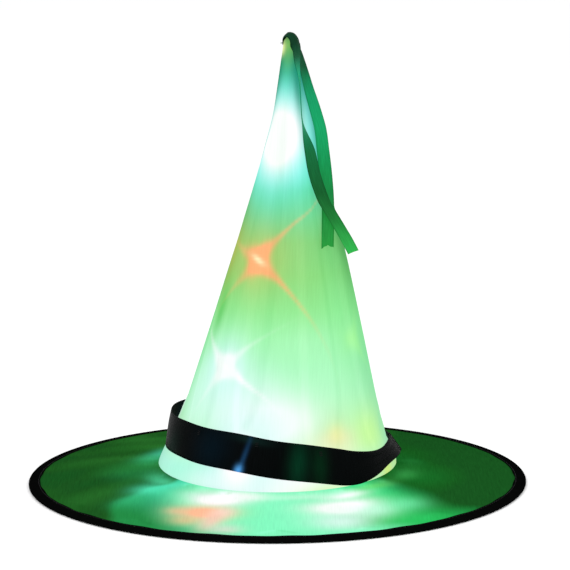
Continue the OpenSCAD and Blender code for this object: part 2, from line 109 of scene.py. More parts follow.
def smooth(t):
    """An eased step from 0 to 1 as t goes from 0 to 1."""
    t = np.clip(t, 0, 1)
    return t * t * (3 - 2 * t)


def turn(a, b):
    """The signed angle from b to a."""
    return (a - b + math.pi) % TAU - math.pi


# ------------------------ mesh builders
def make(name, points, faces, uv=None, glow=None, shade_smooth=True):
    """A mesh object from points in millimetres. uv is per face corner, glow is per point."""
    mesh = bpy.data.meshes.new(name)
    points = np.asarray(points, float) * MM
    mesh.from_pydata(points.tolist(), [], [list(map(int, f)) for f in faces])
    if uv is not None:
        layer = mesh.uv_layers.new(name="Cloth")
        layer.data.foreach_set("uv", np.asarray(uv, np.float32).ravel())
    if glow is not None:
        layer = mesh.color_attributes.new("glow", "FLOAT_COLOR", "POINT")
        rgba = np.ones((len(points), 4), np.float32)
        rgba[:, :3] = glow
        layer.data.foreach_set("color", rgba.ravel())
    mesh.validate()
    shape = bmesh.new()
    shape.from_mesh(mesh)
    bmesh.ops.recalc_face_normals(shape, faces=shape.faces)
    shape.to_mesh(mesh)
    shape.free()
    mesh.update()
    if shade_smooth:
        mesh.polygons.foreach_set("use_smooth", [True] * len(mesh.polygons))
    obj = bpy.data.objects.new(name, mesh)
    bpy.context.scene.collection.objects.link(obj)
    return obj


def shell(name, outer, inner, flat, glow=None, wraps=True):
    """A thin closed sheet between two grids of points, rows by columns. flat is each grid point's place on
    the flat cloth, with one column more than the grid when it wraps."""
    rows, cols = outer.shape[:2]
    count = rows * cols
    span = cols if wraps else cols - 1
    i, j = np.meshgrid(np.arange(rows - 1), np.arange(span), indexing="ij")
    i, j = i.ravel(), j.ravel()
    nxt = (j + 1) % cols
    a, b, c, d = i * cols + j, i * cols + nxt, (i + 1) * cols + nxt, (i + 1) * cols + j
    top = np.stack([a, b, c, d], 1)
    under = np.stack([d, c, b, a], 1) + count
    uv_top = np.stack([flat[i, j], flat[i, j + 1], flat[i + 1, j + 1], flat[i + 1, j]], 1)
    uv_under = uv_top[:, ::-1]
    k = np.arange(span)
    after = (k + 1) % cols
    last = (rows - 1) * cols
    foot = np.stack([after, k, k + count, after + count], 1)
    head = np.stack([last + k, last + after, last + after + count, last + k + count], 1)
    uv_foot = np.stack([flat[0, k + 1], flat[0, k], flat[0, k], flat[0, k + 1]], 1)
    uv_head = np.stack([flat[-1, k], flat[-1, k + 1], flat[-1, k + 1], flat[-1, k]], 1)
    faces, uvs = [top, under, foot, head], [uv_top, uv_under, uv_foot, uv_head]
    if not wraps:
        r = np.arange(rows - 1)
        left = np.stack([r * cols, (r + 1) * cols, (r + 1) * cols + count, r * cols + count], 1)
        right = left[:, [1, 0, 3, 2]] + cols - 1
        faces += [left, right]
        uvs += [np.stack([flat[r, 0], flat[r + 1, 0], flat[r + 1, 0], flat[r, 0]], 1),
                np.stack([flat[r + 1, -1], flat[r, -1], flat[r, -1], flat[r + 1, -1]], 1)]
    points = np.concatenate([outer.reshape(-1, 3), inner.reshape(-1, 3)])
    if glow is not None:
        glow = np.concatenate([glow.reshape(-1, 3)] * 2)
    return make(name, points, np.concatenate(faces), np.concatenate(uvs).reshape(-1, 2), glow)


def normals_of(grid, wraps=True):
    """Unit normals of a grid of points, by its neighbours."""
    if wraps:
        across = np.roll(grid, -1, 1) - np.roll(grid, 1, 1)
    else:
        across = np.gradient(grid, axis=1)
    along = np.gradient(grid, axis=0)
    n = np.cross(across, along)
    length = np.linalg.norm(n, axis=2, keepdims=True)
    return n / np.maximum(length, 1e-9)


def cubic(grid, rows, cols):
    """Resamples a grid that wraps across its columns, at fractional rows and columns, by smooth curves."""
    def weights(t):
        return np.stack([-t + 2 * t**2 - t**3, 2 - 5 * t**2 + 3 * t**3,
                         t + 4 * t**2 - 3 * t**3, -t**2 + t**3], -1) / 2
    n, m = grid.shape[:2]
    ri, ci = np.floor(rows).astype(int), np.floor(cols).astype(int)
    wr, wc = weights(rows - ri), weights(cols - ci)
    tall = sum(wr[:, k, None, None] * grid[np.clip(ri - 1 + k, 0, n - 1)] for k in range(4))
    return sum(wc[None, :, k, None] * tall[:, (ci - 1 + k) % m] for k in range(4))


def threads(name, paths, r, sides=6):
    """Short threads of radius r, each along a path of points."""
    points, faces = [], []
    for path in paths:
        path = np.asarray(path, float)
        d = np.gradient(path, axis=0)
        d /= np.linalg.norm(d, axis=1, keepdims=True)
        up = np.array([0.0, 0, 1]) if abs(d[0, 2]) < 0.9 else np.array([0.0, 1, 0])
        s = np.cross(d, up)
        s /= np.linalg.norm(s, axis=1, keepdims=True)
        u = np.cross(s, d)
        taper = np.ones(len(path))
        taper[[0, -1]] = 0.35                        # the ends dip into the cloth
        start = len(points)
        for p, ps, pu, k in zip(path, s, u, taper):
            for q in range(sides):
                a = TAU * q / sides
                points.append(p + r * k * (math.cos(a) * ps + math.sin(a) * pu))
        rows = len(path)
        for i in range(rows - 1):
            for q in range(sides):
                a, b = start + i * sides + q, start + i * sides + (q + 1) % sides
                faces.append([a, b, b + sides, a + sides])
        faces.append([start + q for q in range(sides)][::-1])
        faces.append([start + (rows - 1) * sides + q for q in range(sides)])
    return make(name, points, faces)


# ------------------------ cloth settling
SIM_SCALE = 10                       # cloth is settled at ten times its size, where the solver is steady


def settle(grid, held, frames, stretch, bending):
    """The shift of a wrapped grid of cloth that settles under its own weight, held by the weights given."""
    rows, cols = grid.shape[:2]
    i, j = np.meshgrid(np.arange(rows - 1), np.arange(cols), indexing="ij")
    i, j = i.ravel(), j.ravel()
    nxt = (j + 1) % cols
    faces = np.stack([i * cols + j, i * cols + nxt, (i + 1) * cols + nxt, (i + 1) * cols + j], 1)
    obj = make("settling", grid.reshape(-1, 3) * SIM_SCALE, faces)
    group = obj.vertex_groups.new(name="held")
    for w in np.unique(held):
        group.add([int(v) for v in np.nonzero(held.ravel() == w)[0]], float(w), "REPLACE")
    cloth = obj.modifiers.new("cloth", "CLOTH")
    s = cloth.settings
    s.vertex_group_mass = "held"
    s.quality = 5
    s.mass = 0.2
    s.tension_stiffness = s.compression_stiffness = 30
    s.shear_stiffness = 15
    s.bending_stiffness = bending
    s.shrink_min = -stretch
    s.air_damping = 4
    cloth.collision_settings.use_collision = False
    cloth.point_cache.frame_end = frames
    for f in range(1, frames + 1):
        bpy.context.scene.frame_set(f)
    made = obj.evaluated_get(bpy.context.evaluated_depsgraph_get())
    co = np.zeros(rows * cols * 3)
    made.data.vertices.foreach_get("co", co)
    bpy.context.scene.frame_set(1)
    bpy.data.objects.remove(obj)
    return co.reshape(rows, cols, 3) / MM / SIM_SCALE - grid


# ------------------------ lamps and glow
LAMP_COLOURS = {"yellow": (1.0, 0.8, 0.2), "orange": (1.0, 0.35, 0.08), "green": (0.25, 1.0, 0.4),
                "blue": (0.2, 0.5, 1.0), "white": (0.85, 1.0, 1.0)}


def lamp_list():
    """The kind and the place of every lamp, from the lowest up."""
    found = []
    for kind in LAMP_COLOURS:
        found += [(kind, place) for place in clusters("lamps_" + kind, 16)]
    return sorted(found, key=lambda lamp: lamp[1][2])


LAMPS = lamp_list()
CROWN_BASE = np.array([0.015, 0.10, 0.035])
BRIM_BASE = np.array([0.008, 0.075, 0.012])


def seen(*values):
    """A linear colour from display values of 0 to 255."""
    return (np.array(values) / 255.0) ** 2.2


def ramp(at, keys):
    """The linear colour at a place along keys of place and display colour."""
    places = [key[0] for key in keys]
    return np.stack([np.interp(at, places, [seen(*key[1])[c] for key in keys]) for c in range(3)], -1)


def lay(field, weight, colour):
    """Mixes a colour into a field of light."""
    w = np.clip(weight, 0, 1)[..., None]
    return field * (1 - w) + w * colour


def arms(du, dz, rays, core):
    """Light streaks from a spot: each ray is direction, reach, strength and bend. They narrow outwards."""
    total = 0
    for direction, reach, strength, bend in rays:
        c, s = math.cos(math.radians(direction)), math.sin(math.radians(direction))
        along = du * c + dz * s
        off = -du * s + dz * c + bend * along**2
        wide = core * np.exp(-np.maximum(along, 0) / 11) + 1.1
        fade = np.exp(-(np.maximum(along, 0) / reach) ** 1.6) * smooth(along / core + 1)
        total = total + strength * fade * np.exp(-(off / wide) ** 2)
    return total


# Height and colour of the cloth at the front, as lit from behind
CROWN_KEYS = [(10, (180, 252, 222)), (22, (190, 252, 232)), (40, (194, 254, 198)), (60, (186, 253, 198)),
              (80, (176, 252, 194)), (100, (166, 248, 184)), (120, (162, 245, 172)), (140, (148, 234, 148)),
              (165, (138, 216, 124)), (190, (128, 206, 122)), (210, (112, 214, 152)), (228, (96, 218, 168)),
              (242, (112, 236, 214)), (286, (86, 228, 208)), (303, (52, 205, 170)), (314, (52, 178, 118)),
              (324, (104, 190, 96)), (334, (146, 208, 84)), (342, (90, 160, 70))]
# Broad patches of painted light and shade: angle, height, reach around and up, strength, colour
CROWN_PAINTED_LIGHT = [(197, 178, 13, 34, 0.85, (146, 174, 78)), (207, 137, 6, 22, 0.75, (88, 198, 90)),
               (238, 76, 36, 24, 0.9, (222, 254, 247)), (262, 60, 36, 19, 1.4, (252, 255, 255)),
               (206, 68, 22, 26, 0.6, (205, 252, 234)), (304, 46, 20, 8, 0.9, (255, 236, 206)),
               (300, 38, 24, 6, 0.8, (252, 255, 222)), (329, 46, 22, 18, 0.8, (200, 252, 150)),
               (337, 17, 14, 9, 0.95, (205, 238, 125)), (353, 18, 14, 9, 0.8, (190, 236, 140)),
               (318, 17, 18, 8, 0.7, (200, 246, 140)), (188, 262, 5, 20, 0.6, (80, 226, 212)),
               (194, 207, 9, 10, 0.6, (88, 178, 104)), (192, 181, 8, 14, 0.6, (186, 180, 82)),
               (218, 20, 26, 9, 0.7, (150, 248, 215)), (262, 17, 48, 9, 1.5, (252, 255, 255)),
               (296, 13, 24, 6, 0.7, (228, 252, 184)), (300, 92, 22, 26, 0.4, (184, 253, 204)),
               (283, 170, 16, 40, 0.3, (150, 222, 134)), (320, 190, 12, 26, 0.4, (112, 206, 118)),
               (283, 116, 24, 14, 0.35, (178, 252, 196)), (318, 140, 14, 30, 0.3, (136, 238, 152)),
               (186, 318, 7, 26, 0.8, (10, 112, 78)), (310, 312, 6, 24, 0.75, (14, 118, 84)),
               (186, 292, 7, 16, 0.65, (20, 142, 116)), (310, 294, 7, 20, 0.6, (14, 146, 114)),
               (196, 331, 3, 5, 1.1, (246, 250, 165)), (20, 100, 40, 70, 0.35, (120, 225, 140)),
               (60, 60, 40, 40, 0.5, (150, 245, 170)), (120, 60, 30, 26, 0.5, (160, 250, 190)),
               (90, 230, 30, 40, 0.4, (60, 170, 110))]
# Painted shade on the sides of the slim tip, and a lighter patch below the left one, laid over the lamp light
CROWN_SHADES = [(186, 304, 4.5, 22, 0.85, (16, 128, 90)), (190, 271, 3.5, 14, 0.5, (70, 222, 200)),
                (308, 300, 4, 24, 0.6, (16, 142, 106))]
# A lamp's spot on the cloth: strength, reach, colour in the middle and around it
LAMP_SPOTS = {"white": (2.2, 17, (255, 255, 255), (120, 246, 236)),
              "blue": (1.2, 9, (250, 254, 255), (212, 253, 250)),
              "green": (0.22, 12, (176, 255, 150), (140, 240, 140)),
              "orange": (1.0, 11, (255, 176, 120), (190, 204, 112)),
              "yellow": (1.0, 8, (250, 243, 165), (160, 215, 90))}
# The hottest streak across a spot
HOT_STREAK = {"orange": (255, 244, 190), "blue": (255, 255, 255)}
FOOT_LAMP_Z = 60                     # a lamp lower than this has no streaks
TIP_LAMP_Z = 300                     # the light of a lamp higher than this is in the keys and tints
# Streaks round a spot: direction, reach, strength and bend
LAMP_RAYS = {"orange": [(54, 42, 0.95, 0.003), (160, 20, 1.0, 0), (229, 24, 0.85, 0), (-32, 48, 1.2, 0.002)],
             "blue": [(141, 26, 1.0, 0), (46, 28, 0.65, 0.003), (-18, 50, 1.25, 0.003), (238, 26, 0.6, 0)],
             "green": [(60, 22, 0.2, 0), (-50, 26, 0.25, 0)], "yellow": [(-80, 24, 0.6, 0)], "white": []}
# The place of each lamp's spot on the cloth, from the lamp: across and up
SPOT_SHIFT = {"orange": (2.5, 0.5), "blue": (-2.5, 6)}


def paint_light_and_shade(field, a, z, tints):
    """Lays soft spots of painted light and shade on the crown."""
    for at, up, wide, tall, strength, colour in tints:
        du = turn(a, math.radians(at)) * radius(z)
        field = lay(field, strength * np.exp(-(du / wide) ** 2 - ((z - up) / tall) ** 2), seen(*colour))
    return field


def lamp_glow(field, a, z, kind, place):
    """Lays one lamp's halo, spot and streaks on the crown. A lamp behind the band or the foot only glows."""
    across, up = SPOT_SHIFT.get(kind, (0, 0))
    du = turn(a, math.atan2(place[1], place[0] - lean(place[2]))) * (radius(z) + 3) - across
    dz = z - place[2] - up
    strength, wide, core, halo = LAMP_SPOTS[kind]
    tall, spread = (1.25, 1.6) if kind == "white" else (1, 2.3)
    reach = np.hypot(du, dz / tall)
    in_foot = place[2] < FOOT_LAMP_Z
    if in_foot:
        strength, halo = 0.6 * strength, tuple(0.6 * value + 100 for value in halo)
    field = lay(field, 0.75 * strength * np.exp(-(reach / (spread * wide)) ** 2), seen(*halo))
    if in_foot or not LAMP_RAYS[kind]:
        return lay(field, strength * np.exp(-(reach / wide) ** 2), seen(*core))
    field = lay(field, arms(du, dz, LAMP_RAYS[kind], 0.85 * wide), seen(*core))
    if kind in HOT_STREAK:
        hot = np.exp(-((du * 0.36 + dz * 0.93) / 1.9) ** 2 - ((du * 0.93 - dz * 0.36) / 7) ** 2)
        field = lay(field, hot, seen(*HOT_STREAK[kind]))
    return field


def crown_glow(a, z):
    """The colour of the crown as lit by the lamps behind it."""
    field = ramp(z, CROWN_KEYS)
    # Painted shade: the light is dimmer away from the front, the most high up
    side = 1 - np.clip(np.cos(turn(a, FRONT - 0.15)), 0, 1)
    high = smooth((z - 120) / 90) * smooth((345 - z) / 30)
    away = smooth((side - 0.25) / 0.75)
    field = field * (1 - (0.25 + 0.4 * high) * away)[..., None] ** np.array([1.3, 0.8, 1.0])
    field = paint_light_and_shade(field, a, z, CROWN_PAINTED_LIGHT)
    for kind, place in LAMPS:
        if place[2] <= TIP_LAMP_Z:
            field = lamp_glow(field, a, z, kind, place)
    return paint_light_and_shade(field, a, z, CROWN_SHADES)


# ------------------------ crown
# Folds of the crown: angle, width in radians, drift, low and high ends, depth
FOLDS = [(205, 0.16, 0.25, 60, 300, 1.3), (236, 0.10, -0.2, 120, 320, 0.8), (262, 0.13, 0.1, 30, 190, -0.7),
         (290, 0.12, -0.15, 90, 300, 0.9), (325, 0.15, 0.2, 20, 250, 1.1), (350, 0.12, 0, 100, 320, 0.8),
         (20, 0.16, -0.2, 30, 280, 1.2), (55, 0.12, 0.2, 60, 310, 0.9), (118, 0.14, -0.1, 40, 260, 1.1),
         (150, 0.13, 0.15, 90, 320, 1.0), (178, 0.12, -0.2, 30, 200, 0.8)]
FAN_SHARE = 0.235                    # the crown's turn on the flat cloth, for a full turn on the hat
SEAM_HALF, SEAM_RISE = 3.2, 0.45     # the back seam's half width and its height
SETTLE_SHARE = 0.55                  # how much of the settling is kept


def crown_piece():
    cols, sim_cols = 264, 96
    foot_rows, wall_rows, tip_rows = 14, 160, 9
    z = np.concatenate([np.linspace(FOOT, 20, foot_rows), np.linspace(21.5, TIP - 6, wall_rows),
                        np.linspace(TIP - 5, TIP, tip_rows)])
    a = np.arange(cols) * TAU / cols + BACK
    sim_z = np.concatenate([np.linspace(FOOT, 20, 4), np.linspace(24, TIP - 8, 66), [TIP]])
    sim_a = np.arange(sim_cols) * TAU / sim_cols + BACK

    def ring(az, zz, out=0.0):
        r = radius(zz) + out
        return np.stack([lean(zz) + r * np.cos(az), r * np.sin(az), zz + 0 * az], -1)

    A, Z = np.meshgrid(a, z)
    shift = np.zeros((len(z), cols, 3))
    SA, SZ = np.meshgrid(sim_a, sim_z)
    held = np.full(SZ.shape, 0.05)
    held[SZ < 22] = 1
    held[SZ > TIP - 30] = 1
    ripple = 0.4 * np.sin(5 * SA + SZ / 37) + 0.3 * np.sin(9 * SA - SZ / 23 + 1)
    start = ring(SA, SZ, ripple * (held < 1))
    rows = np.interp(z, sim_z, np.arange(len(sim_z)))
    moved = settle(start, held, frames=45, stretch=0.02, bending=4) + start - ring(SA, SZ)
    shift = cubic(moved, rows, np.arange(cols) * sim_cols / cols)
    out = shift[..., 0] * np.cos(A) + shift[..., 1] * np.sin(A)
    free = smooth((Z - 14) / 25) * smooth((TIP - 8 - Z) / 60)
    out = SETTLE_SHARE * np.clip(out - out.mean(axis=1, keepdims=True), -1.6, 2.4) * free
    # Long soft folds from the tip down, each with its own place, width and reach
    for at, width, drift, low, high, depth in FOLDS:
        span = smooth((Z - low) / 40) * smooth((high - Z) / 40)
        off = turn(A, math.radians(at) + drift * (Z - low) / 300) / width
        size = 0.5 * depth * np.minimum(1, radius(Z) / 38)
        out += size * span * (np.exp(-off**2) - 0.45 * np.exp(-(off / 2.2) ** 2))
    # The band lies close over the lower cloth
    out = np.minimum(out, 0.4 + 1.6 * smooth((Z - 46) / 22))
    # A soft swelling on the right, below the tip
    out += 1.6 * np.exp(-(turn(A, 0) / 0.7) ** 2 - ((Z - 276) / 27) ** 2)
    # Gathers where the foot is eased into the seam
    gather = np.exp(-(Z - FOOT) / 7) * smooth((Z - FOOT) / 1.5)
    out += 0.22 * gather * np.sin(31 * A + 4 * np.sin(3 * A)) * (0.5 + 0.5 * np.sin(5 * A + 1))
    seam = np.exp(-(turn(A, BACK) * radius(Z) / SEAM_HALF) ** 4)
    out += SEAM_RISE * seam
    face = ring(A, Z, out)
    n = normals_of(face)
    inner = face - n * CLOTH_T * np.where(Z > TIP - 3, 0.5, 1)[..., None]
    inner[-1] = face[-1] - np.array([0, 0, 1.5])
    # Painted light and shade: the lamp light is dimmer over the back seam, and a little lighter or darker on
    # the flanks of folds by their slope
    light = crown_glow(A, Z) * (1 - 0.45 * seam)[..., None]
    slope = np.gradient(out, axis=1) * cols / TAU / np.maximum(radius(Z), 8)
    light *= np.clip(1 + 0.16 * slope, 0.94, 1.06)[..., None] ** np.array([1.5, 0.6, 1.2])
    glow = np.maximum(light - CROWN_BASE, 0)
    # Place on the flat cloth: the cone's own unrolled fan
    slant = np.concatenate([[0], np.cumsum(np.hypot(np.diff(radius(z)), np.diff(z)))])
    slant = slant[-1] - slant
    fan = (np.append(a, a[0] + TAU) - FRONT) * FAN_SHARE
    flat = np.stack([slant[:, None] * np.sin(fan)[None], -slant[:, None] * np.cos(fan)[None]], -1)
    obj = shell("crown_cloth_visual", face, inner, flat, glow)
    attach(obj, "hat")
    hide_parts("crown")
    return obj


# ------------------------ brim
brim_points = points_of("brim")
brim_rad = np.hypot(brim_points[:, 0], brim_points[:, 1])
HOLE_R, EDGE_R = brim_rad.min(), brim_rad.max()
brim_r = np.linspace(HOLE_R, EDGE_R, 11)
brim_z = np.array([brim_points[abs(brim_rad - r) < 0.6, 2].max() for r in brim_r])
hoop = points_of("brim_hoop")
HOOP_R = (np.hypot(hoop[:, 0], hoop[:, 1]).max() + np.hypot(hoop[:, 0], hoop[:, 1]).min()) / 2
HOOP_Z = (hoop[:, 2].max() + hoop[:, 2].min()) / 2


def brim_top(r):
    """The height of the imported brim's upper face."""
    return np.interp(r, brim_r, brim_z)


# Spots of painted light and shade on the brim: angle, distance from the middle, reach around and outwards,
# strength, colour
BRIM_LIGHT_SPOTS = [(204, 97, 24, 8, 0.7, (80, 206, 150)), (217, 116, 18, 14, 0.8, (78, 222, 170)),
              (221, 140, 12, 16, 0.6, (52, 176, 112)), (235, 105, 13, 9, 0.6, (170, 246, 212)),
              (246, 108, 20, 15, 1.6, (253, 255, 255)), (254, 96, 17, 9, 1.0, (252, 255, 254)),
              (291.5, 129, 24, 15, 1.5, (253, 255, 254)), (300, 142, 18, 14, 0.7, (190, 253, 220)),
              (311, 143, 18, 13, 0.5, (130, 252, 188)), (299, 104, 18, 8, 0.8, (252, 254, 253)),
              (342, 118, 26, 20, 0.3, (30, 125, 50)), (287, 156, 22, 15, 0.85, (226, 253, 246)),
              (281, 97, 30, 7, 0.5, (214, 255, 232)), (239, 142, 9, 7, 0.8, (214, 200, 156)),
              (247.5, 139, 20, 14, 1.3, (255, 186, 148)), (245, 157, 12, 8, 0.6, (236, 190, 140)),
              (253, 136, 9, 12, 0.7, (255, 228, 214)), (252, 154, 8, 18, 0.8, (255, 200, 184)),
              (257, 168, 12, 10, 0.75, (222, 222, 210)), (318, 97, 18, 7, 0.6, (120, 226, 120)),
              (345, 100, 16, 9, 0.45, (64, 168, 84)), (8, 104, 14, 9, 0.35, (50, 140, 70)),
              (60, 100, 26, 10, 0.5, (70, 180, 96)), (112, 103, 20, 12, 0.6, (120, 190, 96)),
              (150, 101, 22, 10, 0.6, (80, 206, 170)), (165, 102, 22, 12, 0.5, (60, 190, 120)),
              (186, 112, 26, 20, 0.4, (46, 150, 84))]


def brim_glow(a, r):
    """Light on the brim: it spills from the foot of the crown, most at the front."""
    out = (r - HOLE_R) / (EDGE_R - HOLE_R)
    deg = np.degrees(turn(a, FRONT))
    field = (1.12 - 0.4 * out)[..., None] * seen(37, 92, 38)
    field *= 1 + 0.3 * (np.sin(7 * a + r / 40) * np.sin(3 * a + 1) + 0.4 * np.sin(19 * a - r / 15))[..., None]
    right = smooth((deg - 30) / 40) * smooth((170 - deg) / 50)
    field = lay(field, right, (1.15 - 0.75 * out)[..., None] * seen(27, 90, 35))
    wander = 1.6 * np.sin(r / 13) + 1.2 * np.sin(r / 7 + 1)
    left = -58 + 0.17 * (r - 118) + wander               # the lit cloth ends at a soft fold on the left
    far = smooth((r - 92) / 75)
    turned = smooth((deg + 12) / 34)
    broad = (lay(seen(78, 222, 177) + 0 * field, far, seen(41, 141, 75)) * (1 - turned)[..., None]
             + lay(seen(70, 238, 146) + 0 * field, far, seen(46, 196, 96)) * turned[..., None])
    weight = 0.92 * smooth((deg - left) / 5.5) * smooth((64 - 6 * far + wander - deg) / 24)
    field = field * (1 - weight)[..., None] + broad * weight[..., None]
    near_left = smooth((deg - left - 5 - 8 * far) / (17 + 12 * far))
    near_right = smooth((37 + 2 * wander - deg - 6 * far) / 18)
    field = lay(field, near_left * near_right, seen(130, 248, 190))
    for at, dist, wide, long, strength, colour in BRIM_LIGHT_SPOTS:
        off = turn(a, math.radians(at)) * r / wide
        away = (r - dist) / long
        field = lay(field, strength * np.exp(-off**2 - away**2), seen(*colour))
    return field


def brim_piece():
    rows, cols, sim_rows, sim_cols = 46, 360, 16, 120
    r = np.linspace(HOLE_R, EDGE_R, rows)
    a = np.arange(cols) * TAU / cols + BACK
    A, R = np.meshgrid(a, r)
    rise = np.zeros(A.shape)
    sim_r = np.linspace(HOLE_R, EDGE_R, sim_rows)
    sim_a = np.arange(sim_cols) * TAU / sim_cols + BACK
    SA, SR = np.meshgrid(sim_a, sim_r)
    held = np.full(SR.shape, 0.04)
    held[:1] = held[-2:] = 1
    bump = 0.5 * np.sin(4 * SA + 1) + 0.4 * np.sin(7 * SA + SR / 20)
    start = np.stack([SR * np.cos(SA), SR * np.sin(SA), brim_top(SR) + bump * (held < 1)], -1)
    moved = settle(start, held, frames=45, stretch=0.008, bending=3)[..., 2] + bump * (held < 1)
    fine_rows = np.linspace(0, sim_rows - 1, rows)
    rise = cubic(moved[..., None], fine_rows, np.arange(cols) * sim_cols / cols)[..., 0]
    inner_end, outer_end = smooth((R - HOLE_R) / 14), smooth((EDGE_R - 6 - R) / 14)
    rise = np.clip(rise, -1.2, 1.6) * inner_end * outer_end
    for n, phase, size in [(5, 0.4, 0.5), (8, 2.0, 0.4), (13, 1.1, 0.2)]:
        rise += size * np.sin(n * A + phase + 0.4 * np.sin(2 * A)) * inner_end * outer_end
    pucker = np.exp(-(R - HOLE_R) / 16) * smooth((R - HOLE_R) / 6)
    rise += 0.22 * pucker * np.sin(27 * A + 4 * np.sin(2 * A)) * (0.6 + 0.4 * np.sin(5 * A))
    top = np.stack([R * np.cos(A), R * np.sin(A), brim_top(R) - 0.03 + rise], -1)
    # Painted light and shade: the spilled light is a little lighter or darker on the flanks of the brim's
    # waves by their slope
    light = brim_glow(A, R)
    slope = np.gradient(rise, axis=1) * cols / TAU / R
    light *= np.clip(1 + 2 * slope, 0.88, 1.14)[..., None] ** np.array([1.4, 0.7, 1.2])
    glow = np.maximum(light - BRIM_BASE, 0)
    closed = np.append(a, a[0] + TAU)
    flat = np.stack([r[:, None] * np.cos(closed)[None], r[:, None] * np.sin(closed)[None]], -1)
    obj = shell("brim_cloth_visual", top, top - np.array([0, 0, CLOTH_T]), flat, glow)
    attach(obj, "hat")
    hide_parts("brim")
    return obj


# ------------------------ binding
def binding_pieces():
    """The tape folded round the hoop and the brim's edge, and the stitches through it."""
    tape = points_of("brim_binding")
    inner_r = np.hypot(tape[:, 0], tape[:, 1]).min()
    fold_r = np.hypot(tape[:, 0], tape[:, 1]).max() - HOOP_R
    top_edge = tape[abs(np.hypot(tape[:, 0], tape[:, 1]) - inner_r) < 1.0]
    leaf_z = (top_edge[:, 2].max() + top_edge[:, 2].min()) / 2
    half = 0.8                       # half the thickness of the two leaves with the brim between them
    thin = 0.32                      # the tape's own thickness
    stitch_at = 0.84                 # the stitches' place on a leaf, from the hoop to the leaf's edge
    reach = HOOP_R - inner_r
    tilt = math.atan2(leaf_z - HOOP_Z, reach)
    cols = 720
    a = np.arange(cols) * TAU / cols
    wave = 0.3 * np.sin(23 * a + np.sin(5 * a)) + 0.2 * np.sin(41 * a + 1)
    steps = np.linspace(0.28, 1, 9)

    def leaf(side, off):
        """Places along one leaf, from the hoop to the leaf's edge, off from the brim's middle by off."""
        made = []
        for t in steps:
            press = 1 - 0.22 * np.exp(-((t - stitch_at) / 0.05) ** 2)
            made.append([-(reach + wave * (t > 0.5)) * t, side * off * press + 0 * a, 1])
        return made

    def section(radius_here, off):
        """The tape's section as rows of places: lower leaf, turn round the hoop, upper leaf."""
        arc = [[radius_here * math.cos(q) + 0 * a, radius_here * math.sin(q) + 0 * a, 0]
               for q in np.radians(np.linspace(-128, 128, 15))]
        rows = leaf(-1, off)[::-1] + arc + leaf(1, off)
        grid = []
        for x, y, on_leaf in rows:
            c, s = (math.cos(tilt), math.sin(tilt)) if on_leaf else (1, 0)
            rr, zz = HOOP_R + x * c, HOOP_Z - x * s + y
            grid.append(np.stack([rr * np.cos(a), rr * np.sin(a), zz], -1))
        return np.array(grid)

    outer, inner = section(fold_r, half), section(fold_r - thin, half - thin)
    outer[..., 2] = np.maximum(outer[..., 2], 0.0)
    inner[..., 2] = np.maximum(inner[..., 2], thin)
    run = np.linalg.norm(np.diff(outer[:, 0], axis=0), axis=1)
    across = np.concatenate([[0], np.cumsum(run)])
    flat = np.stack(np.broadcast_arrays(np.append(a, TAU)[None, :] * HOOP_R, across[:, None]), -1)
    obj = shell("brim_binding_visual", outer, inner, flat)
    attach(obj, "hat")
    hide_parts("brim_binding")
    # Lockstitches along the inner edge of both leaves
    paths = []
    stitch_r = HOOP_R - stitch_at * reach * math.cos(tilt)
    stitch_z = HOOP_Z + stitch_at * reach * math.sin(tilt)
    count, share, thread_r = 330, 0.74, 0.17
    for side in (1, -1):
        for k in range(count):
            mid = TAU * k / count
            row = []
            for t in (-0.5, -0.36, 0, 0.36, 0.5):
                q = mid + t * share * TAU / count
                lift = half * 0.80 + (0.12 if abs(t) < 0.4 else -0.15)
                row.append([stitch_r * math.cos(q), stitch_r * math.sin(q), stitch_z + side * lift])
            paths.append(row)
    stitches = threads("binding_stitches", paths, thread_r)
    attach(stitches, "hat")
    return obj, stitches


# ------------------------ hat band
# Spots of painted light on the band: angle, place across, widths around and across, slant, light
BAND_LIGHT_SPOTS = [(250, 0.05, 2.8, 0.13, 1.2, (0.08, 0.34, 0.75)),
              (252, 0.4, 1.8, 0.5, 2.8, (0.006, 0.035, 0.09)),
              (280, 0.45, 7, 0.6, 0.5, (0.00, 0.028, 0.010)), (291, 0.45, 6, 0.6, 0.5, (0.0, 0.016, 0.004)),
              (232, 0.5, 16, 0.6, 0, (0.0, 0.004, 0.008)), (200, 0.2, 10, 0.4, 0, (0.0, 0.007, 0.004)),
              (255, 0.9, 14, 0.1, 0, (0.002, 0.012, 0.01)), (150, 0.3, 8, 0.4, 1, (0.0, 0.02, 0.03)),
              (30, 0.2, 8, 0.4, 0, (0.003, 0.02, 0.004)), (100, 0.6, 9, 0.4, 1, (0.02, 0.012, 0.0))]
BAND_T = 0.4
BAND_WIDTH, BAND_GIRTH_R = 28, 84    # the flat ribbon's width, and its length for a radian round the hat


